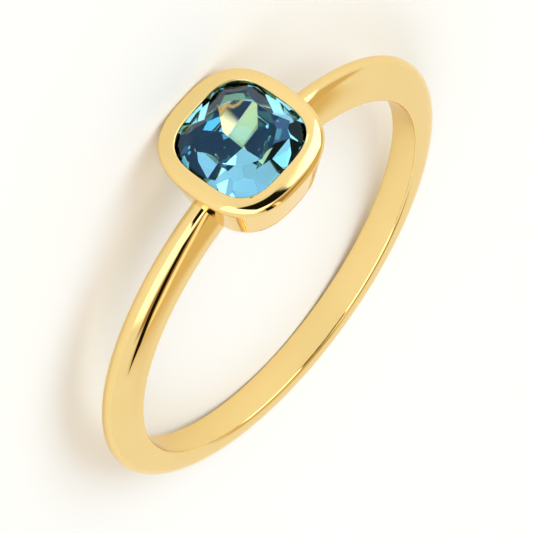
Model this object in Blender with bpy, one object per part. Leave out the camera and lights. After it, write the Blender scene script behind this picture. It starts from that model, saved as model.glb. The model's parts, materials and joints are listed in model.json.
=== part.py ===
"""A slim stacking ring: a domed metal band that carries one cushion-cut stone in a bezel.

Two pieces: the band with the bezel soldered to it, and the stone that the bezel's lip holds.

Each piece is modelled in the ring's own frame, in metres. Z is the axis of the finger, the stone
faces -Y, and X runs along the band under the stone. "Height" is the distance from the finger's
axis towards the stone. An empty at the end lays the ring on its side, as it rests by itself: it
touches the surface with the rim of the bezel and with the back of the band.
"""
import math

import bmesh
import bpy
from mathutils import Matrix, Vector

MM = 0.001

# Band: flat inside, low flat sides, a deep round dome outside, and thicker towards the stone
INNER_DIAMETER = 17.0 * MM
BAND_WIDTH = 1.36 * MM
BAND_THICKNESS_FRONT = 1.84 * MM
BAND_THICKNESS_BACK = 1.23 * MM
SIDE_HEIGHT = 0.34 * MM
DOME_FULLNESS = 2.3
INNER_EDGE_RADIUS = 0.12 * MM

# Stone: half sizes of its cushion outline, then its heights
STONE_HALF_WIDTH = 2.48 * MM
STONE_HALF_LENGTH = 2.45 * MM
STONE_FULLNESS = 3.3
TABLE_HALF_WIDTH = 1.45 * MM
CROWN_HEIGHT = 0.85 * MM
GIRDLE_THICKNESS = 0.12 * MM
PAVILION_DEPTH = 1.87 * MM
POINT_ABOVE_FINGER = 0.76 * MM

# Bezel: the lip covers the stone's edge, and the wall narrows towards the finger and is open there
LIP_COVER = 0.15 * MM
LIP_ABOVE_GIRDLE = 0.36 * MM
LIP_ROLL_HEIGHT = 0.41 * MM
LIP_ROLL_FULLNESS = 2.5
RIM_HALF_WIDTH = 3.05 * MM
RIM_HALF_LENGTH = 3.15 * MM
FOOT_HALF_WIDTH = 2.58 * MM
FOOT_HALF_LENGTH = 2.65 * MM
BEZEL_FULLNESS = 2.6
FOOT_ABOVE_FINGER = 0.42 * MM
SEAT_WIDTH = 0.18 * MM
FOOT_WALL = 0.45 * MM

# Bridge: what is left of the band under the stone, from the middle of one wall to the other's
BRIDGE_THICKNESS = 0.48 * MM

# Clearance between the stone and the metal all round it
STONE_GAP = 0.06 * MM

# Fineness of the faceted solids
BAND_STEPS = 96
DOME_STEPS = 16
EDGE_STEPS = 3
BEZEL_STEPS = 64
LIP_STEPS = 6
GIRDLE_STEPS = 32
SMOOTH_ANGLE = math.radians(32)

# Cut of the stone. A facet stands at a place given as an angle round the stone in degrees, and leans
# from the girdle's plane by its slope. Main facets take their slope from the stone's heights.
SIDE_PLACE = 0
CORNER_PLACE = 45
TABLE_CORNER_SHARE = 1.2
CROWN_BREAK_PLACES = (8.8, 34.3)
CROWN_BREAK_STEEPER = math.radians(6.9)
STAR_PLACE = 30
STAR_REACH_SHARE = 1.007
STAR_SLOPE_SHARE = 0.534

# Pavilion: the corner mains meet in its point and reach the girdle's lower edge. The side mains aim
# below that point and below that edge.
SIDE_MAIN_BELOW_POINT = 0.39 * MM
SIDE_MAIN_BELOW_GIRDLE = 0.14 * MM

# Pavilion's facets along the girdle: place, slope, and distance inside the outline at its lower edge
PAVILION_BREAKS = (
    (15.7, math.radians(58.4), 0.061 * MM),
    (19.0, math.radians(50.7), 0.054 * MM),
    (29.9, math.radians(59.6), 0.046 * MM),
)

# Sizes of the tools, which reach well past what they cut
FINGER_CUTTER_LENGTH = 12.0 * MM
BACK_MARGIN = 0.6 * MM
BLANK_MARGIN = 1.5

# Heights above the finger's axis
FINGER_RADIUS = INNER_DIAMETER / 2
POINT_HEIGHT = FINGER_RADIUS + POINT_ABOVE_FINGER
GIRDLE_BOTTOM = POINT_HEIGHT + PAVILION_DEPTH
GIRDLE_TOP = GIRDLE_BOTTOM + GIRDLE_THICKNESS
TABLE_HEIGHT = GIRDLE_TOP + CROWN_HEIGHT
LIP_TOP = GIRDLE_TOP + LIP_ABOVE_GIRDLE
RIM_HEIGHT = LIP_TOP - LIP_ROLL_HEIGHT
FOOT_RADIUS = FINGER_RADIUS + FOOT_ABOVE_FINGER
OPENING_HALF_WIDTH = STONE_HALF_WIDTH - LIP_COVER
OPENING_HALF_LENGTH = STONE_HALF_LENGTH - LIP_COVER


def remove_all_objects():
    for item in list(bpy.data.objects):
        bpy.data.objects.remove(item, do_unlink=True)


def make_material(name, colour, roughness, metallic, transmission=0.0, ior=1.5):
    material = bpy.data.materials.new(name)
    material.use_nodes = True
    material.diffuse_color = (*colour, 1.0)
    shader = material.node_tree.nodes["Principled BSDF"]
    shader.inputs["Base Color"].default_value = (*colour, 1.0)
    shader.inputs["Roughness"].default_value = roughness
    shader.inputs["Metallic"].default_value = metallic
    shader.inputs["Transmission Weight"].default_value = transmission
    shader.inputs["IOR"].default_value = ior
    return material


def make_object(name, mesh_data, material=None):
    """Turn a bmesh into a scene object with its faces pointing out."""
    bmesh.ops.recalc_face_normals(mesh_data, faces=mesh_data.faces[:])
    mesh = bpy.data.meshes.new(name)
    mesh_data.to_mesh(mesh)
    mesh_data.free()
    if material:
        mesh.materials.append(material)
    item = bpy.data.objects.new(name, mesh)
    bpy.context.scene.collection.objects.link(item)
    return item


def shade_round(item):
    item.data.shade_smooth()
    item.data.set_sharp_from_angle(angle=SMOOTH_ANGLE)


def rounded_square(angle, half_x, half_z, fullness):
    """Point of a rounded square's outline at an angle round its middle; fullness 2 is an ellipse."""
    reach_x = abs(math.cos(angle)) / half_x
    reach_z = abs(math.sin(angle)) / half_z
    radius = (reach_x ** fullness + reach_z ** fullness) ** (-1 / fullness)
    return radius * math.cos(angle), radius * math.sin(angle)


def rounded_square_normal(angle, half_x, half_z, fullness):
    """Direction that the same outline faces there."""
    x, z = rounded_square(angle, half_x, half_z, fullness)
    across = math.copysign(abs(x / half_x) ** (fullness - 1) / half_x, x)
    along = math.copysign(abs(z / half_z) ** (fullness - 1) / half_z, z)
    return Vector((across, 0.0, along)).normalized()


def loft(sections, closed_round=False):
    """Join loops of points with faces; an open loft is capped at both ends."""
    mesh = bmesh.new()
    loops = [[mesh.verts.new(point) for point in section] for section in sections]
    pairs = list(zip(loops, loops[1:]))
    if closed_round:
        pairs.append((loops[-1], loops[0]))
    for lower, upper in pairs:
        for step in range(len(lower)):
            following = (step + 1) % len(lower)
            mesh.faces.new((lower[step], lower[following], upper[following], upper[step]))
    if not closed_round:
        mesh.faces.new(loops[0][::-1])
        mesh.faces.new(loops[-1])
    return mesh


def band_thickness(angle):
    """Thickness at an angle from the stone: full under it, least at the back."""
    mean = (BAND_THICKNESS_FRONT + BAND_THICKNESS_BACK) / 2
    return mean + (BAND_THICKNESS_FRONT - BAND_THICKNESS_BACK) / 2 * math.cos(angle)


def band_profile(thickness):
    """Outline of the band as (radius, z): dome, flat sides, rounded inner edges, flat inside."""
    half_width = BAND_WIDTH / 2
    dome_start = FINGER_RADIUS + SIDE_HEIGHT
    dome_height = thickness - SIDE_HEIGHT
    outline = []
    for step in range(DOME_STEPS + 1):
        across, up = rounded_square(math.pi * step / DOME_STEPS, half_width, dome_height, DOME_FULLNESS)
        outline.append((dome_start + up, across))
    edge_radius = FINGER_RADIUS + INNER_EDGE_RADIUS
    edge_across = half_width - INNER_EDGE_RADIUS
    for side, start in ((-1, 0), (1, EDGE_STEPS)):
        for step in range(EDGE_STEPS + 1):
            turn = math.pi / 2 * abs(start - step) / EDGE_STEPS
            radius = edge_radius - INNER_EDGE_RADIUS * math.sin(turn)
            outline.append((radius, side * (edge_across + INNER_EDGE_RADIUS * math.cos(turn))))
    return outline


def make_band(material):
    sections = []
    for step in range(BAND_STEPS):
        angle = 2 * math.pi * step / BAND_STEPS
        outline = band_profile(band_thickness(angle))
        sections.append([(radius * math.sin(angle), -radius * math.cos(angle), z) for radius, z in outline])
    return make_object("band_and_bezel", loft(sections, closed_round=True), material)


def outline_section(height, half_width, half_length, fullness):
    """A rounded square across the stone's direction, at one height."""
    section = []
    for step in range(BEZEL_STEPS):
        x, z = rounded_square(2 * math.pi * step / BEZEL_STEPS, half_width, half_length, fullness)
        section.append((x, -height, z))
    return section


def between(start, end, share):
    return start + (end - start) * share


def make_bezel_block():
    """Bezel's outside, still solid: the tapered wall, then the lip that rolls over the stone."""
    taper_width = (RIM_HALF_WIDTH - FOOT_HALF_WIDTH) / (RIM_HEIGHT - FOOT_RADIUS)
    taper_length = (RIM_HALF_LENGTH - FOOT_HALF_LENGTH) / (RIM_HEIGHT - FOOT_RADIUS)
    start = math.sqrt(FOOT_RADIUS ** 2 - FOOT_HALF_WIDTH ** 2) - FOOT_ABOVE_FINGER
    start_width = FOOT_HALF_WIDTH - taper_width * (FOOT_RADIUS - start)
    start_length = FOOT_HALF_LENGTH - taper_length * (FOOT_RADIUS - start)
    sections = [outline_section(start, start_width, start_length, BEZEL_FULLNESS)]
    for step in range(LIP_STEPS + 1):
        turn = math.pi / 2 * step / LIP_STEPS
        share, rise = rounded_square(math.pi / 2 - turn, 1.0, 1.0, LIP_ROLL_FULLNESS)[::-1]
        inward = 1 - share
        sections.append(outline_section(
            RIM_HEIGHT + LIP_ROLL_HEIGHT * rise,
            between(RIM_HALF_WIDTH, OPENING_HALF_WIDTH - LIP_COVER, inward),
            between(RIM_HALF_LENGTH, OPENING_HALF_LENGTH - LIP_COVER, inward),
            between(BEZEL_FULLNESS, STONE_FULLNESS, inward)))
    block = loft(sections)
    # The lip's four-sided faces aren't flat, so each is split in two flat ones before it is cut
    bmesh.ops.triangulate(block, faces=block.faces[:])
    return make_object("bezel_block", block)


def make_finger_cutter():
    """Cylinder that trims the foot of the bezel round the finger, clear of the band's inside."""
    mesh = bmesh.new()
    bmesh.ops.create_cone(mesh, cap_ends=True, segments=BAND_STEPS, radius1=FOOT_RADIUS,
                          radius2=FOOT_RADIUS, depth=FINGER_CUTTER_LENGTH)
    return make_object("finger_cutter", mesh)


def crown_height_at(x, z):
    """Height of the stone's upper surface over a point of the girdle's plane."""
    heights = [TABLE_HEIGHT]
    for point, normal in crown_facets():
        heights.append(-point.y + (normal.x * (x - point.x) + normal.z * (z - point.z)) / normal.y)
    return min(heights)


def under_lip():
    """Height of the lip's underside, clear of the stone all round the opening."""
    opening = outline_section(0.0, OPENING_HALF_WIDTH, OPENING_HALF_LENGTH, STONE_FULLNESS)
    return max(crown_height_at(x, z) for x, _, z in opening) + STONE_GAP


def make_seat_cutter():
    """Space inside the bezel: opening in the lip, groove for the stone's edge, seat and open back."""
    groove_width = STONE_HALF_WIDTH + STONE_GAP
    groove_length = STONE_HALF_LENGTH + STONE_GAP
    groove_bottom = GIRDLE_BOTTOM - STONE_GAP
    seat_height = groove_bottom - STONE_GAP - SEAT_WIDTH * PAVILION_DEPTH / STONE_HALF_WIDTH
    back_width = FOOT_HALF_WIDTH - FOOT_WALL
    back_length = FOOT_HALF_LENGTH - FOOT_WALL
    sections = [
        outline_section(TABLE_HEIGHT, OPENING_HALF_WIDTH, OPENING_HALF_LENGTH, STONE_FULLNESS),
        outline_section(under_lip(), OPENING_HALF_WIDTH, OPENING_HALF_LENGTH, STONE_FULLNESS),
        outline_section(GIRDLE_TOP + STONE_GAP, groove_width, groove_length, STONE_FULLNESS),
        outline_section(groove_bottom, groove_width, groove_length, STONE_FULLNESS),
        outline_section(seat_height, groove_width - SEAT_WIDTH, groove_length - SEAT_WIDTH, STONE_FULLNESS),
        outline_section(FOOT_RADIUS, back_width, back_length, BEZEL_FULLNESS),
        outline_section(FINGER_RADIUS - BACK_MARGIN, back_width, back_length, BEZEL_FULLNESS)]
    return make_object("seat_cutter", loft(sections))


def make_bridge_cutter():
    """Block that thins the band to the bridge between the two sides of the bezel's wall."""
    mesh = bmesh.new()
    bottom = FINGER_RADIUS + BRIDGE_THICKNESS
    top = FINGER_RADIUS + BAND_THICKNESS_FRONT + BACK_MARGIN
    length = 2 * FOOT_HALF_WIDTH - FOOT_WALL
    size = Vector((length, top - bottom, BAND_WIDTH + 2 * BACK_MARGIN))
    place = Matrix.Translation((0.0, -(bottom + top) / 2, 0.0)) @ Matrix.Diagonal((*size, 1.0))
    bmesh.ops.create_cube(mesh, size=1.0, matrix=place)
    return make_object("bridge_cutter", mesh)


def cut_facet(mesh, point, normal):
    """Grind one flat facet: take away what lies beyond a plane and close the cut."""
    everything = mesh.verts[:] + mesh.edges[:] + mesh.faces[:]
    cut = bmesh.ops.bisect_plane(mesh, geom=everything, dist=1e-8, plane_co=point, plane_no=normal,
                                 clear_outer=True)
    rim = [part for part in cut["geom_cut"] if isinstance(part, bmesh.types.BMEdge)]
    if len(rim) > 2:
        bmesh.ops.contextual_create(mesh, geom=rim)


def mirrored_places(place):
    """A place and its mirror images in each quarter of the stone."""
    return sorted({(quarter * 90 + side * place) % 360 for quarter in range(4) for side in (1, -1)})


def girdle_point(place, height, inset=0.0):
    x, z = rounded_square(math.radians(place), STONE_HALF_WIDTH, STONE_HALF_LENGTH, STONE_FULLNESS)
    return Vector((x, -height, z)) - girdle_facing(place) * inset


def girdle_facing(place):
    return rounded_square_normal(math.radians(place), STONE_HALF_WIDTH, STONE_HALF_LENGTH, STONE_FULLNESS)


def facet_normal(facing, slope, towards_table):
    up = Vector((0.0, -1.0 if towards_table else 1.0, 0.0))
    return facing * math.sin(slope) + up * math.cos(slope)


def main_reach(place):
    """Distance from the stone's middle to the outline, along the way a main facet faces."""
    return girdle_point(place, 0.0).dot(girdle_facing(place))


def crown_slope(place, table_reach):
    return math.atan2(CROWN_HEIGHT, main_reach(place) - table_reach)


def crown_facets():
    """Point and normal of each facet of the crown."""
    corner_reach = TABLE_HALF_WIDTH * TABLE_CORNER_SHARE
    slopes = [(SIDE_PLACE, crown_slope(SIDE_PLACE, TABLE_HALF_WIDTH)),
              (CORNER_PLACE, crown_slope(CORNER_PLACE, corner_reach))]
    for place in CROWN_BREAK_PLACES:
        slopes.append((place, crown_slope(place, corner_reach) + CROWN_BREAK_STEEPER))
    facets = []
    for first, slope in slopes:
        for place in mirrored_places(first):
            facets.append((girdle_point(place, GIRDLE_TOP), facet_normal(girdle_facing(place), slope, True)))
    star_slope = crown_slope(SIDE_PLACE, TABLE_HALF_WIDTH) * STAR_SLOPE_SHARE
    for place in mirrored_places(STAR_PLACE):
        facing = Vector((math.cos(math.radians(place)), 0.0, math.sin(math.radians(place))))
        point = facing * TABLE_HALF_WIDTH * STAR_REACH_SHARE + Vector((0.0, -TABLE_HEIGHT, 0.0))
        facets.append((point, facet_normal(facing, star_slope, True)))
    return facets


def pavilion_facets():
    """Point and normal of each facet of the pavilion."""
    facets = []
    for first, below_point, below_girdle in ((SIDE_PLACE, SIDE_MAIN_BELOW_POINT, SIDE_MAIN_BELOW_GIRDLE),
                                             (CORNER_PLACE, 0.0, 0.0)):
        for place in mirrored_places(first):
            depth = PAVILION_DEPTH + below_point - below_girdle
            point = Vector((0.0, below_point - POINT_HEIGHT, 0.0))
            slope = math.atan2(depth, main_reach(place))
            facets.append((point, facet_normal(girdle_facing(place), slope, False)))
    for first, slope, inset in PAVILION_BREAKS:
        for place in mirrored_places(first):
            facets.append((girdle_point(place, GIRDLE_BOTTOM, inset),
                           facet_normal(girdle_facing(place), slope, False)))
    return facets


def make_stone(material):
    """Cushion-cut stone, ground facet by facet from a block of its girdle's outline."""
    blank = []
    for height in (GIRDLE_BOTTOM - PAVILION_DEPTH * BLANK_MARGIN, GIRDLE_TOP + CROWN_HEIGHT * BLANK_MARGIN):
        blank.append([girdle_point(360 * step / GIRDLE_STEPS, height) for step in range(GIRDLE_STEPS)])
    mesh = loft(blank)
    bmesh.ops.recalc_face_normals(mesh, faces=mesh.faces[:])
    for point, normal in crown_facets() + pavilion_facets():
        cut_facet(mesh, point, normal)
    cut_facet(mesh, Vector((0.0, -TABLE_HEIGHT, 0.0)), Vector((0.0, -1.0, 0.0)))
    bmesh.ops.remove_doubles(mesh, verts=mesh.verts[:], dist=1e-6)
    return make_object("cushion_stone", mesh, material)


def add_boolean(item, operation, tool):
    modifier = item.modifiers.new(tool.name, "BOOLEAN")
    modifier.operation = operation
    modifier.solver = "EXACT"
    modifier.object = tool
    tool.hide_render = True
    tool.display_type = "WIRE"


def lower_hull(points):
    """Lower edge of the convex outline round points given as (y, z), from low y to high y."""
    hull = []
    for y, z in sorted(points):
        while len(hull) > 1:
            (y0, z0), (y1, z1) = hull[-2:]
            if (y1 - y0) * (z - z0) > (z1 - z0) * (y - y0):
                break
            hull.pop()
        hull.append((y, z))
    return hull


def resting_turn(corners):
    """Turn about X that lays the ring on the two places it touches, in front and at the back."""
    hull = lower_hull([(corner.y, corner.z) for corner in corners])
    for (y0, z0), (y1, z1) in zip(hull, hull[1:]):
        if y0 <= 0.0 <= y1:
            return -math.atan2(z1 - z0, y1 - y0)
    return 0.0


def lay_on_side(pieces, cutters):
    """Parent everything to an empty that rests the ring on Z = 0 over the middle of its own box."""
    corners = [vertex.co for piece in pieces for vertex in piece.data.vertices]
    turn = Matrix.Rotation(resting_turn(corners), 4, "X")
    turned = [turn @ corner for corner in corners]
    low_y = min(corner.y for corner in turned)
    high_y = max(corner.y for corner in turned)
    rest = bpy.data.objects.new("ring_rest", None)
    bpy.context.scene.collection.objects.link(rest)
    rest.rotation_euler = turn.to_euler()
    rest.location = (0.0, -(low_y + high_y) / 2, -min(corner.z for corner in turned))
    for item in pieces + cutters:
        item.parent = rest


def main():
    remove_all_objects()
    gold = make_material("polished_gold", (0.93, 0.70, 0.30), 0.12, 1.0)
    gem = make_material("aqua_stone", (0.22, 0.56, 0.66), 0.02, 0.0, transmission=0.9, ior=1.76)

    ring = make_band(gold)
    block = make_bezel_block()
    finger = make_finger_cutter()
    seat = make_seat_cutter()
    bridge = make_bridge_cutter()
    add_boolean(block, "DIFFERENCE", finger)
    add_boolean(block, "DIFFERENCE", seat)
    add_boolean(ring, "DIFFERENCE", bridge)
    add_boolean(ring, "UNION", block)
    shade_round(ring)

    stone = make_stone(gem)
    lay_on_side([ring, block, stone], [finger, seat, bridge])


main()
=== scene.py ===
"""A slim gold ring with an aqua cushion stone, lying on its side on a pale studio floor.

The ring is built again in its own frame, finer than the solids it stands for, and laid where they
lie. In that frame Z is the finger's axis, the stone faces -Y, and X runs along the band under the
stone. Lengths are in millimetres until a mesh is made.
"""

import json
import math
from collections import namedtuple

import bmesh
import bpy
from mathutils import Matrix, Vector


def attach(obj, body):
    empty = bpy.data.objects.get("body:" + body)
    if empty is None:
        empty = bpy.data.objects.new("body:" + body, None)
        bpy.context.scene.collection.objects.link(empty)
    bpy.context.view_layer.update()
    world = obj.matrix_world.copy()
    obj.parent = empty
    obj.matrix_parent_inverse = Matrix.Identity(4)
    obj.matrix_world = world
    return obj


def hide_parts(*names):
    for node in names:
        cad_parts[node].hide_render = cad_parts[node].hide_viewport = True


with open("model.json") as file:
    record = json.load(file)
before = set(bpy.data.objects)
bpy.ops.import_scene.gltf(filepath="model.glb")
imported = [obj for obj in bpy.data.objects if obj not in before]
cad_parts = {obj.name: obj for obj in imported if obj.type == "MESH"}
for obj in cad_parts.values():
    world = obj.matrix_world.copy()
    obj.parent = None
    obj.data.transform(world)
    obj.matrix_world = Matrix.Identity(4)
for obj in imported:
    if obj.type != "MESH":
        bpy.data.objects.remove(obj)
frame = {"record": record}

MM = 0.001

# Band: its sizes, the height of its flat side above the finger, the fullness of its dome, and how
# finely it is stepped
FINGER_RADIUS = 8.5
BAND_WIDTH = 1.36
BAND_THICKNESS_FRONT = 1.84
BAND_THICKNESS_BACK = 1.23
SIDE_HEIGHT = 0.34
DOME_FULLNESS = 2.3
INNER_EDGE_RADIUS = 0.12
BAND_STEPS = 400
DOME_STEPS = 48
EDGE_STEPS = 6
SIDE_STEPS = 4

# Bridge that is left of the band under the stone, the turns in degrees between which the band grows
# from it to its full shape inside the bezel's wall, and the turns that are stepped finely round there
BRIDGE_TOP = 8.98
BRIDGE_TURN = 14.2
FULL_TURN = 14.8
FINE_TURNS = (14.0, 15.0)
FINE_TURN_STEP = 0.1

# Bezel: heights above the finger's axis, half sizes of its outlines as (across, along the finger),
# and the fullness of its curves, which is 2 for an ellipse and grows towards a square
RIM_HEIGHT = 11.20
LIP_TOP = 11.61
LIP_FULLNESS = 2.5
RIM_HALF = (3.05, 3.15)
LIP_END_HALF = (2.18, 2.15)
FOOT_RADIUS = 8.92
FOOT_HALF = (2.58, 2.65)
BEZEL_FULLNESS = 2.6
OPENING_HALF = (2.33, 2.30)
OPENING_EDGE = 0.05
GROOVE_HALF = (2.54, 2.51)
GROOVE_TOP = 11.31
GROOVE_BOTTOM = 11.07
UNDER_LIP = 11.505
SEAT_HALF = (2.36, 2.33)
SEAT_HEIGHT = 10.87
BACK_HALF = (2.13, 2.20)
FOOT_EDGE = 0.08
WALL_START = 0.02
SHARP_ANGLE = math.radians(42)
COLUMNS = 288
WALL_STEPS = 14
LIP_STEPS = 26
INNER_STEPS = 6
FOOT_STEPS = 4

# Stone: half sizes and heights above the finger's axis. It is ground from a block that stands out
# past its table and its point, and points closer than the merge distance become one.
STONE_HALF = (2.48, 2.45)
STONE_FULLNESS = 3.3
TABLE_HALF = 1.45
TABLE_HEIGHT = 12.10
GIRDLE_TOP = 11.25
GIRDLE_BOTTOM = 11.13
POINT_HEIGHT = 9.26
GIRDLE_STEPS = 64
BLOCK_MARGIN = 1.0
CUT_TOLERANCE = 1e-5
MERGE_DISTANCE = 1e-3

# Cut of the stone. A facet stands at a place given as an angle round the stone in degrees, and leans
# from the girdle's plane by its slope. Main facets take their slope from the stone's heights.
SIDE_PLACE = 0
CORNER_PLACE = 45
TABLE_CORNER_SHARE = 1.2
CROWN_BREAK_PLACES = (8.8, 34.3)
CROWN_BREAK_STEEPER = math.radians(6.9)
STAR_PLACE = 30
STAR_REACH_SHARE = 1.007
STAR_SLOPE_SHARE = 0.534

# Pavilion: the corner mains meet in its point and reach the girdle's lower edge. The side mains aim
# below that point and below that edge.
SIDE_MAIN_BELOW_POINT = 0.39
SIDE_MAIN_BELOW_GIRDLE = 0.14

# Pavilion's facets along the girdle: place, slope, and distance inside the outline at its lower edge
PAVILION_BREAKS = (
    (15.7, math.radians(58.4), 0.061),
    (19.0, math.radians(50.7), 0.054),
    (29.9, math.radians(59.6), 0.046),
)

# Gold: two tones of its fine unevenness, the tint of what it mirrors at a grazing angle, the range of
# its roughness, and how fine and how deep the unevenness is
GOLD_TONES = ((0.89, 0.65, 0.26, 1.0), (0.92, 0.70, 0.31, 1.0))
GOLD_EDGE_TINT = (0.98, 0.90, 0.76, 1.0)
GOLD_ROUGHNESS = (0.03, 0.07)
GRAIN_SCALE = 420.0
GRAIN_DETAIL = 3.0
GRAIN_BUMP_STRENGTH = 0.05
GRAIN_BUMP_METRES = 0.0001

# Stone's look: tint of the light it lets in, how strongly it bends light, tint of what it mirrors,
# and how it colours light with depth
GEM_TINT = (0.90, 0.96, 1.0, 1.0)
GEM_IOR = 1.96
GEM_MIRROR_TINT = (0.16, 0.45, 0.9, 1.0)
GEM_DEPTH_COLOUR = (0.06, 0.68, 0.90, 1.0)
GEM_DEPTH_DENSITY = 240.0

# Floor: half its side, its colour and its roughness
FLOOR_HALF_METRES = 6.0
FLOOR_COLOUR = (0.93, 0.93, 0.925, 1.0)
FLOOR_ROUGHNESS = 0.7

# Cards of the studio, each seen from the ring. In degrees: the direction of its middle (azimuth from
# -Y towards +X, and elevation), its turn, half its width and height, and the softness of its edge.
Card = namedtuple("Card", "name azimuth elevation turn half_width half_height softness light")
BASE_LIGHT = (0.98, 0.98, 0.98)
CARDS = (
    Card("warm left", -115, 66, 0, 40, 20, 10, (0.80, 0.64, 0.38)),
    Card("warm side", -78, 38, 0, 16, 18, 12, (0.74, 0.58, 0.34)),
    Card("warm top", 60, 84, 0, 30, 12, 8, (0.42, 0.27, 0.11)),
    Card("right box", 48, 28, 0, 24, 26, 10, (1.9, 1.9, 1.9)),
    Card("front box", -42, 14, 0, 20, 20, 6, (2.6, 2.6, 2.6)),
    Card("front flag", 4, 25, 0, 17, 16, 3, (0.01, 0.008, 0.006)),
    Card("top strip", 169, 77, -76, 30, 2.0, 2, (1.3, 1.15, 0.9)),
    Card("top flag", 131, 70, -39, 30, 4.5, 1.5, (0.01, 0.008, 0.006)),
)

# Broad light from above: strength, colour, width of its disc and turn
FILL_STRENGTH = 1.1
FILL_COLOUR = (0.58, 0.80, 1.0)
FILL_SPREAD = math.radians(40)
FILL_TURN = (math.radians(25), math.radians(-30), 0.0)

# Camera: direction from the ring to it, turn of the picture and distance, the photo's side and scale,
# the pixel of the photo where the ring's middle falls, how much closer this picture is than the
# photo, and the pixel of the photo that is its middle
CAMERA_RISE = math.radians(20.993)
CAMERA_SWING = math.radians(17.955)
CAMERA_ROLL = math.radians(125.568)
CAMERA_DISTANCE = 712.5
PICTURE_SIDE = 533
PIXELS_PER_MM = 12.301
RING_PIXEL = (273.062, 271.1)
ZOOM = 2.0
AIM_PIXEL = (272.0, 270.0)
SENSOR = 36.0
CLIP_METRES = (0.01, 20.0)


def ring_place():
    """Matrix that lays the ring's own frame where the solids rest, read from the band's two sides."""
    mounts = {mount["name"]: mount for mount in frame["record"]["mounts"]}
    upper = Vector(mounts["side_face_up"]["pos_m"])
    lower = Vector(mounts["side_face_down"]["pos_m"])
    middle = (upper + lower) / 2
    axis = Vector(mounts["side_face_up"]["axis"])
    turn = Matrix.Rotation(-math.atan2(axis.y, axis.z), 4, "X")
    return Matrix.Translation((0.0, middle.y, middle.z)) @ turn


PLACE = ring_place()


def between(start, end, share):
    return start + (end - start) * share


def smooth_step(value, low, high):
    share = min(1.0, max(0.0, (value - low) / (high - low)))
    return share * share * (3 - 2 * share)


def rounded_square(angle, half_x, half_z, fullness):
    """Point of a rounded square's outline at an angle round its middle; fullness 2 is an ellipse."""
    reach_x = abs(math.cos(angle)) / half_x
    reach_z = abs(math.sin(angle)) / half_z
    radius = (reach_x ** fullness + reach_z ** fullness) ** (-1 / fullness)
    return radius * math.cos(angle), radius * math.sin(angle)


def rounded_square_normal(angle, half_x, half_z, fullness):
    """Direction that the same outline faces there."""
    x, z = rounded_square(angle, half_x, half_z, fullness)
    across = math.copysign(abs(x / half_x) ** (fullness - 1) / half_x, x)
    along = math.copysign(abs(z / half_z) ** (fullness - 1) / half_z, z)
    return Vector((across, 0.0, along)).normalized()


def make_piece(name, mesh_data, material, smooth):
    """Scale a bmesh from millimetres, lay it in place and make it a piece of the ring."""
    bmesh.ops.recalc_face_normals(mesh_data, faces=mesh_data.faces[:])
    bmesh.ops.transform(mesh_data, matrix=PLACE @ Matrix.Scale(MM, 4), verts=mesh_data.verts[:])
    mesh = bpy.data.meshes.new(name)
    mesh_data.to_mesh(mesh)
    mesh_data.free()
    mesh.materials.append(material)
    piece = bpy.data.objects.new(name, mesh)
    bpy.context.scene.collection.objects.link(piece)
    if smooth:
        mesh.shade_smooth()
        mesh.set_sharp_from_angle(angle=SHARP_ANGLE)
    return piece


def loft_round(sections):
    """Join loops of points with faces, the last loop to the first."""
    mesh = bmesh.new()
    loops = [[mesh.verts.new(point) for point in section] for section in sections]
    for lower, upper in zip(loops, loops[1:] + loops[:1]):
        for step in range(len(lower)):
            following = (step + 1) % len(lower)
            mesh.faces.new((lower[step], lower[following], upper[following], upper[step]))
    return mesh


def band_outline(turn):
    """Outline of the band as (radius, z) at a turn from the stone."""
    mean = (BAND_THICKNESS_FRONT + BAND_THICKNESS_BACK) / 2
    full = mean + (BAND_THICKNESS_FRONT - BAND_THICKNESS_BACK) / 2 * math.cos(turn)
    share = smooth_step(abs(math.degrees(math.remainder(turn, math.tau))), BRIDGE_TURN, FULL_TURN)
    bridge = BRIDGE_TOP / math.cos(turn) - FINGER_RADIUS if share < 1 else full
    thickness = between(bridge, full, share)
    dome_height = (full - SIDE_HEIGHT) * share
    dome_start = FINGER_RADIUS + thickness - dome_height
    half_width = BAND_WIDTH / 2
    outline = []
    for step in range(DOME_STEPS + 1):
        across, up = rounded_square(math.pi * step / DOME_STEPS, half_width, 1.0, DOME_FULLNESS)
        outline.append((dome_start + up * dome_height, across))
    edge_radius = FINGER_RADIUS + INNER_EDGE_RADIUS
    edge_across = half_width - INNER_EDGE_RADIUS
    for step in range(1, SIDE_STEPS):
        outline.append((between(dome_start, edge_radius, step / SIDE_STEPS), -half_width))
    for side, start in ((-1, 0), (1, EDGE_STEPS)):
        for step in range(EDGE_STEPS + 1):
            angle = math.pi / 2 * abs(start - step) / EDGE_STEPS
            radius = edge_radius - INNER_EDGE_RADIUS * math.sin(angle)
            outline.append((radius, side * (edge_across + INNER_EDGE_RADIUS * math.cos(angle))))
    for step in range(1, SIDE_STEPS):
        outline.append((between(edge_radius, dome_start, step / SIDE_STEPS), half_width))
    return outline


def band_turns():
    """Turns of the band's sections in radians, closer together where it enters the bezel."""
    turns = {round(360 * step / BAND_STEPS - 180, 4) for step in range(BAND_STEPS)}
    fine = round((FINE_TURNS[1] - FINE_TURNS[0]) / FINE_TURN_STEP)
    for step in range(fine + 1):
        turn = round(FINE_TURNS[0] + FINE_TURN_STEP * step, 4)
        turns |= {turn, -turn}
    return [math.radians(turn) for turn in sorted(turns)]


def make_band(material):
    sections = []
    for turn in band_turns():
        sections.append([(radius * math.sin(turn), -radius * math.cos(turn), z)
                         for radius, z in band_outline(turn)])
    return make_piece("band", loft_round(sections), material, True)


def outline_loop(height, half, fullness):
    """A rounded square across the stone's direction, at one height."""
    loop = []
    for step in range(COLUMNS):
        x, z = rounded_square(math.tau * step / COLUMNS, half[0], half[1], fullness)
        loop.append(Vector((x, -height, z)))
    return loop


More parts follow.
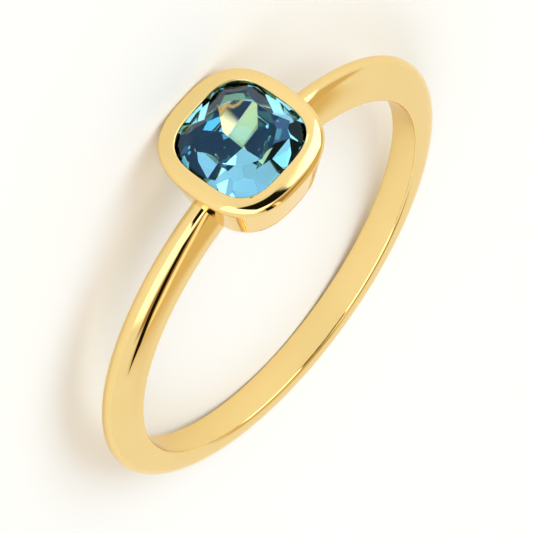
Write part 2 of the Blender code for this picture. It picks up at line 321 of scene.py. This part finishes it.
def mixed_half(start, end, share):
    """Half sizes of an outline a share of the way from one to another."""
    return (between(start[0], end[0], share), between(start[1], end[1], share))


def on_foot(point):
    """The same place on the round underside of the bezel."""
    return Vector((point.x, -math.sqrt(FOOT_RADIUS ** 2 - point.x ** 2), point.z))


def wall_bottom(low, high):
    """Where a line down the wall, given by its points at the foot's radius and the rim, meets the foot."""
    slope = (high.x - low.x) / (RIM_HEIGHT - FOOT_RADIUS)
    half_b = low.x * slope + FOOT_RADIUS
    square = slope ** 2 + 1
    drop = (-half_b + math.sqrt(half_b ** 2 - square * low.x ** 2)) / square
    return low + (high - low) * drop / (RIM_HEIGHT - FOOT_RADIUS)


def foot_and_wall_sections(inner_bottom):
    """Loops of the bezel's underside from the open back outwards, then up the wall."""
    low = outline_loop(FOOT_RADIUS, FOOT_HALF, BEZEL_FULLNESS)
    high = outline_loop(RIM_HEIGHT, RIM_HALF, BEZEL_FULLNESS)
    bottom = [wall_bottom(a, b) for a, b in zip(low, high)]
    sections = []
    for step in range(FOOT_STEPS + 1):
        share = between(1 - FOOT_EDGE, FOOT_EDGE, step / FOOT_STEPS)
        sections.append([on_foot(a.lerp(b, share)) for a, b in zip(bottom, inner_bottom)])
    for step in range(WALL_STEPS):
        share = between(WALL_START, 1.0, step / WALL_STEPS)
        sections.append([a.lerp(b, share) for a, b in zip(bottom, high)])
    return sections


def lip_sections():
    """Loops of the lip from the rim inwards, then round the small edge of its opening."""
    sections = []
    for step in range(LIP_STEPS + 1):
        turn = math.pi / 2 * step / LIP_STEPS
        out, rise = rounded_square(turn, 1.0, 1.0, LIP_FULLNESS)
        half = mixed_half(LIP_END_HALF, RIM_HALF, out)
        if half[0] <= OPENING_HALF[0] + OPENING_EDGE:
            break
        height = RIM_HEIGHT + (LIP_TOP - RIM_HEIGHT) * rise
        sections.append(outline_loop(height, half, between(STONE_FULLNESS, BEZEL_FULLNESS, out)))
    for step in range(EDGE_STEPS + 1):
        turn = math.pi / 2 * step / EDGE_STEPS
        grow = OPENING_EDGE * (1 - math.sin(turn))
        height = LIP_TOP - OPENING_EDGE * (1 - math.cos(turn))
        half = (OPENING_HALF[0] + grow, OPENING_HALF[1] + grow)
        sections.append(outline_loop(height, half, STONE_FULLNESS))
    return sections


def inside_sections(back, inner_bottom):
    """Loops from under the lip down the groove, the seat and the inside of the wall."""
    sections = []
    for height, half in ((UNDER_LIP, OPENING_HALF), (GROOVE_TOP, GROOVE_HALF), (GROOVE_BOTTOM, GROOVE_HALF)):
        sections.append(outline_loop(height, half, STONE_FULLNESS))
    seat = outline_loop(SEAT_HEIGHT, SEAT_HALF, STONE_FULLNESS)
    for step in range(INNER_STEPS + 1):
        sections.append([a.lerp(b, step / INNER_STEPS) for a, b in zip(seat, back)])
    sections.append([a.lerp(b, 1 - FOOT_EDGE) for a, b in zip(back, inner_bottom)])
    return sections


def make_bezel(material):
    """Bezel as one closed loft: up its outside, over the lip and down its inside."""
    back = outline_loop(FOOT_RADIUS, BACK_HALF, BEZEL_FULLNESS)
    inner_bottom = [on_foot(point) for point in back]
    sections = foot_and_wall_sections(inner_bottom) + lip_sections() + inside_sections(back, inner_bottom)
    return make_piece("bezel", loft_round(sections), material, True)


def cut_facet(mesh, point, normal):
    """Grind one flat facet: take away what lies beyond a plane and close the cut."""
    everything = mesh.verts[:] + mesh.edges[:] + mesh.faces[:]
    cut = bmesh.ops.bisect_plane(mesh, geom=everything, dist=CUT_TOLERANCE, plane_co=point,
                                 plane_no=normal, clear_outer=True)
    rim = [part for part in cut["geom_cut"] if isinstance(part, bmesh.types.BMEdge)]
    if len(rim) > 2:
        bmesh.ops.contextual_create(mesh, geom=rim)


def mirrored_places(place):
    """A place and its mirror images in each quarter of the stone."""
    return sorted({(quarter * 90 + side * place) % 360 for quarter in range(4) for side in (1, -1)})


def girdle_point(place, height, inset=0.0):
    """Point of the stone's outline at a place and a height, moved inwards by the inset."""
    x, z = rounded_square(math.radians(place), STONE_HALF[0], STONE_HALF[1], STONE_FULLNESS)
    return Vector((x, -height, z)) - girdle_facing(place) * inset


def girdle_facing(place):
    """Direction that the stone's outline faces at a place."""
    return rounded_square_normal(math.radians(place), STONE_HALF[0], STONE_HALF[1], STONE_FULLNESS)


def facet_normal(facing, slope, towards_table):
    """Normal of a facet that leans by its slope from the girdle's plane, above it or below it."""
    up = Vector((0.0, -1.0 if towards_table else 1.0, 0.0))
    return facing * math.sin(slope) + up * math.cos(slope)


def main_reach(place):
    """Distance from the stone's middle to the outline, along the way a main facet faces."""
    return girdle_point(place, 0.0).dot(girdle_facing(place))


def crown_slope(place, table_reach):
    """Slope from the girdle up to the table's edge, which lies at a reach from the middle."""
    return math.atan2(TABLE_HEIGHT - GIRDLE_TOP, main_reach(place) - table_reach)


def crown_facets():
    """Point and normal of each facet of the crown."""
    corner_reach = TABLE_HALF * TABLE_CORNER_SHARE
    slopes = [(SIDE_PLACE, crown_slope(SIDE_PLACE, TABLE_HALF)),
              (CORNER_PLACE, crown_slope(CORNER_PLACE, corner_reach))]
    for place in CROWN_BREAK_PLACES:
        slopes.append((place, crown_slope(place, corner_reach) + CROWN_BREAK_STEEPER))
    facets = []
    for first, slope in slopes:
        for place in mirrored_places(first):
            facets.append((girdle_point(place, GIRDLE_TOP), facet_normal(girdle_facing(place), slope, True)))
    star_slope = crown_slope(SIDE_PLACE, TABLE_HALF) * STAR_SLOPE_SHARE
    for place in mirrored_places(STAR_PLACE):
        facing = Vector((math.cos(math.radians(place)), 0.0, math.sin(math.radians(place))))
        point = facing * TABLE_HALF * STAR_REACH_SHARE + Vector((0.0, -TABLE_HEIGHT, 0.0))
        facets.append((point, facet_normal(facing, star_slope, True)))
    return facets


def pavilion_facets():
    """Point and normal of each facet of the pavilion."""
    facets = []
    for first, below_point, below_girdle in ((SIDE_PLACE, SIDE_MAIN_BELOW_POINT, SIDE_MAIN_BELOW_GIRDLE),
                                             (CORNER_PLACE, 0.0, 0.0)):
        for place in mirrored_places(first):
            depth = GIRDLE_BOTTOM - POINT_HEIGHT + below_point - below_girdle
            point = Vector((0.0, below_point - POINT_HEIGHT, 0.0))
            slope = math.atan2(depth, main_reach(place))
            facets.append((point, facet_normal(girdle_facing(place), slope, False)))
    for first, slope, inset in PAVILION_BREAKS:
        for place in mirrored_places(first):
            facets.append((girdle_point(place, GIRDLE_BOTTOM, inset),
                           facet_normal(girdle_facing(place), slope, False)))
    return facets


def make_stone(material):
    """Cushion-cut stone, ground facet by facet from a block of its girdle's outline."""
    mesh = bmesh.new()
    loops = []
    for height in (POINT_HEIGHT - BLOCK_MARGIN, TABLE_HEIGHT + BLOCK_MARGIN):
        loops.append([mesh.verts.new(girdle_point(360 * step / GIRDLE_STEPS, height))
                      for step in range(GIRDLE_STEPS)])
    for step in range(GIRDLE_STEPS):
        following = (step + 1) % GIRDLE_STEPS
        mesh.faces.new((loops[0][step], loops[0][following], loops[1][following], loops[1][step]))
    mesh.faces.new(loops[0][::-1])
    mesh.faces.new(loops[1])
    bmesh.ops.recalc_face_normals(mesh, faces=mesh.faces[:])
    for point, normal in crown_facets() + pavilion_facets():
        cut_facet(mesh, point, normal)
    cut_facet(mesh, Vector((0.0, -TABLE_HEIGHT, 0.0)), Vector((0.0, -1.0, 0.0)))
    bmesh.ops.remove_doubles(mesh, verts=mesh.verts[:], dist=MERGE_DISTANCE)
    return make_piece("cushion_cut_stone", mesh, material, False)


def new_material(name):
    """An empty node material with its nodes, its links and its shader."""
    material = bpy.data.materials.new(name)
    material.use_nodes = True
    nodes = material.node_tree.nodes
    return material, nodes, material.node_tree.links, nodes["Principled BSDF"]


def gold_material():
    """Polished yellow gold with faint unevenness from polishing."""
    material, nodes, links, shader = new_material("polished_gold")
    shader.inputs["Metallic"].default_value = 1.0
    shader.inputs["Specular Tint"].default_value = GOLD_EDGE_TINT
    place = nodes.new("ShaderNodeTexCoord")
    grain = nodes.new("ShaderNodeTexNoise")
    grain.inputs["Scale"].default_value = GRAIN_SCALE
    grain.inputs["Detail"].default_value = GRAIN_DETAIL
    links.new(place.outputs["Object"], grain.inputs["Vector"])
    tone = nodes.new("ShaderNodeMix")
    tone.data_type = "RGBA"
    tone.inputs["A"].default_value, tone.inputs["B"].default_value = GOLD_TONES
    links.new(grain.outputs["Fac"], tone.inputs["Factor"])
    links.new(tone.outputs["Result"], shader.inputs["Base Color"])
    gloss = nodes.new("ShaderNodeMapRange")
    gloss.inputs["To Min"].default_value, gloss.inputs["To Max"].default_value = GOLD_ROUGHNESS
    links.new(grain.outputs["Fac"], gloss.inputs["Value"])
    links.new(gloss.outputs["Result"], shader.inputs["Roughness"])
    bump = nodes.new("ShaderNodeBump")
    bump.inputs["Strength"].default_value = GRAIN_BUMP_STRENGTH
    bump.inputs["Distance"].default_value = GRAIN_BUMP_METRES
    links.new(grain.outputs["Fac"], bump.inputs["Height"])
    links.new(bump.outputs["Normal"], shader.inputs["Normal"])
    return material


def stone_material():
    """Clear aqua stone that bends light strongly and colours it with depth."""
    material, nodes, links, shader = new_material("aqua_stone")
    shader.inputs["Base Color"].default_value = GEM_TINT
    shader.inputs["Roughness"].default_value = 0.0
    shader.inputs["IOR"].default_value = GEM_IOR
    shader.inputs["Specular Tint"].default_value = GEM_MIRROR_TINT
    shader.inputs["Transmission Weight"].default_value = 1.0
    depth = nodes.new("ShaderNodeVolumeAbsorption")
    depth.inputs["Color"].default_value = GEM_DEPTH_COLOUR
    depth.inputs["Density"].default_value = GEM_DEPTH_DENSITY
    links.new(depth.outputs["Volume"], nodes["Material Output"].inputs["Volume"])
    return material


def floor_material():
    material, _, _, shader = new_material("pale_floor")
    shader.inputs["Base Color"].default_value = FLOOR_COLOUR
    shader.inputs["Roughness"].default_value = FLOOR_ROUGHNESS
    return material


def make_floor():
    mesh = bmesh.new()
    bmesh.ops.create_grid(mesh, x_segments=1, y_segments=1, size=FLOOR_HALF_METRES)
    data = bpy.data.meshes.new("floor")
    mesh.to_mesh(data)
    mesh.free()
    data.materials.append(floor_material())
    floor = bpy.data.objects.new("floor", data)
    bpy.context.scene.collection.objects.link(floor)


def card_axes(card):
    """Directions of a card's width, height and middle."""
    azimuth, elevation, turn = (math.radians(angle) for angle in (card.azimuth, card.elevation, card.turn))
    middle = Vector((math.sin(azimuth) * math.cos(elevation), -math.cos(azimuth) * math.cos(elevation),
                     math.sin(elevation)))
    level = Vector((0.0, 0.0, 1.0)).cross(middle).normalized()
    upright = middle.cross(level)
    return (level * math.cos(turn) + upright * math.sin(turn),
            upright * math.cos(turn) - level * math.sin(turn), middle)


def add_math(nodes, links, operation, first, second=None):
    """A math node fed with sockets or plain numbers."""
    node = nodes.new("ShaderNodeMath")
    node.operation = operation
    for socket, value in zip(node.inputs, (first, second)):
        if isinstance(value, bpy.types.NodeSocket):
            links.new(value, socket)
        elif value is not None:
            socket.default_value = value
    return node.outputs[0]


def along_axis(nodes, links, place, axis):
    """How far a direction points along an axis."""
    node = nodes.new("ShaderNodeVectorMath")
    node.operation = "DOT_PRODUCT"
    links.new(place, node.inputs[0])
    node.inputs[1].default_value = axis
    return node.outputs["Value"]


def share_within(nodes, links, distance, half, softness):
    """1 up to half an angle from a card's middle on either side, fading to 0 over its soft edge."""
    fade = nodes.new("ShaderNodeMapRange")
    fade.interpolation_type = "SMOOTHSTEP"
    fade.inputs["From Min"].default_value = math.sin(math.radians(half + softness))
    fade.inputs["From Max"].default_value = math.sin(math.radians(half))
    links.new(add_math(nodes, links, "ABSOLUTE", distance), fade.inputs["Value"])
    return fade.outputs["Result"]


def card_share(nodes, links, place, card):
    """How much of a card is seen in a direction, from 0 to 1."""
    across, upward, ahead = (along_axis(nodes, links, place, axis) for axis in card_axes(card))
    in_width = share_within(nodes, links, across, card.half_width, card.softness)
    in_height = share_within(nodes, links, upward, card.half_height, card.softness)
    in_front = add_math(nodes, links, "GREATER_THAN", ahead, 0.0)
    both = add_math(nodes, links, "MULTIPLY", in_width, in_height)
    return add_math(nodes, links, "MULTIPLY", both, in_front)


def make_world():
    """White tent all round, with brighter, warmer and darker soft cards in it."""
    world = bpy.data.worlds.new("studio")
    bpy.context.scene.world = world
    world.use_nodes = True
    nodes, links = world.node_tree.nodes, world.node_tree.links
    place = nodes.new("ShaderNodeTexCoord").outputs["Generated"]
    light = None
    for card in CARDS:
        mix = nodes.new("ShaderNodeMix")
        mix.label = card.name
        mix.data_type = "RGBA"
        mix.inputs["A"].default_value = (*BASE_LIGHT, 1.0)
        mix.inputs["B"].default_value = (*card.light, 1.0)
        links.new(card_share(nodes, links, place, card), mix.inputs["Factor"])
        if light is not None:
            links.new(light, mix.inputs["A"])
        light = mix.outputs["Result"]
    links.new(light, nodes["Background"].inputs["Color"])


def make_fill_light():
    """Broad light from above that brightens the floor and isn't mirrored in the metal."""
    data = bpy.data.lights.new("fill", "SUN")
    data.energy = FILL_STRENGTH
    data.color = FILL_COLOUR
    data.angle = FILL_SPREAD
    light = bpy.data.objects.new("fill", data)
    bpy.context.scene.collection.objects.link(light)
    light.rotation_euler = FILL_TURN
    light.visible_glossy = False
    light.visible_transmission = False


def make_camera():
    """Long lens at the photo's angle to the ring, rolled as the photo is."""
    toward = Vector((math.cos(CAMERA_RISE) * math.cos(CAMERA_SWING),
                     math.cos(CAMERA_RISE) * math.sin(CAMERA_SWING), math.sin(CAMERA_RISE)))
    level = Vector((0.0, 0.0, 1.0)).cross(toward).normalized()
    upright = toward.cross(level)
    right = level * math.cos(CAMERA_ROLL) + upright * math.sin(CAMERA_ROLL)
    up = upright * math.cos(CAMERA_ROLL) - level * math.sin(CAMERA_ROLL)
    turn = PLACE.to_3x3()
    right, up, toward = (turn @ Vector((v.y, -v.x, v.z)) for v in (right, up, toward))
    off_x = (RING_PIXEL[0] - AIM_PIXEL[0]) / PIXELS_PER_MM
    off_y = (RING_PIXEL[1] - AIM_PIXEL[1]) / PIXELS_PER_MM
    place = PLACE.translation + (toward * CAMERA_DISTANCE - right * off_x + up * off_y) * MM
    data = bpy.data.cameras.new("camera")
    data.sensor_width = SENSOR
    data.lens = ZOOM * PIXELS_PER_MM * CAMERA_DISTANCE / PICTURE_SIDE * SENSOR
    data.clip_start, data.clip_end = CLIP_METRES
    camera = bpy.data.objects.new("camera", data)
    bpy.context.scene.collection.objects.link(camera)
    camera.matrix_world = Matrix((
        (right.x, up.x, toward.x, place.x),
        (right.y, up.y, toward.y, place.y),
        (right.z, up.z, toward.z, place.z),
        (0.0, 0.0, 0.0, 1.0)))
    bpy.context.scene.camera = camera


def main():
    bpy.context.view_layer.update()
    gold = gold_material()
    band = make_band(gold)
    bezel = make_bezel(gold)
    stone = make_stone(stone_material())
    for piece in (band, bezel):
        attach(piece, "root")
        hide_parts("band_and_bezel")
    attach(stone, "root")
    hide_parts("cushion_stone")
    make_floor()
    make_world()
    make_fill_light()
    make_camera()
    bpy.context.scene.view_settings.view_transform = "Standard"


main()
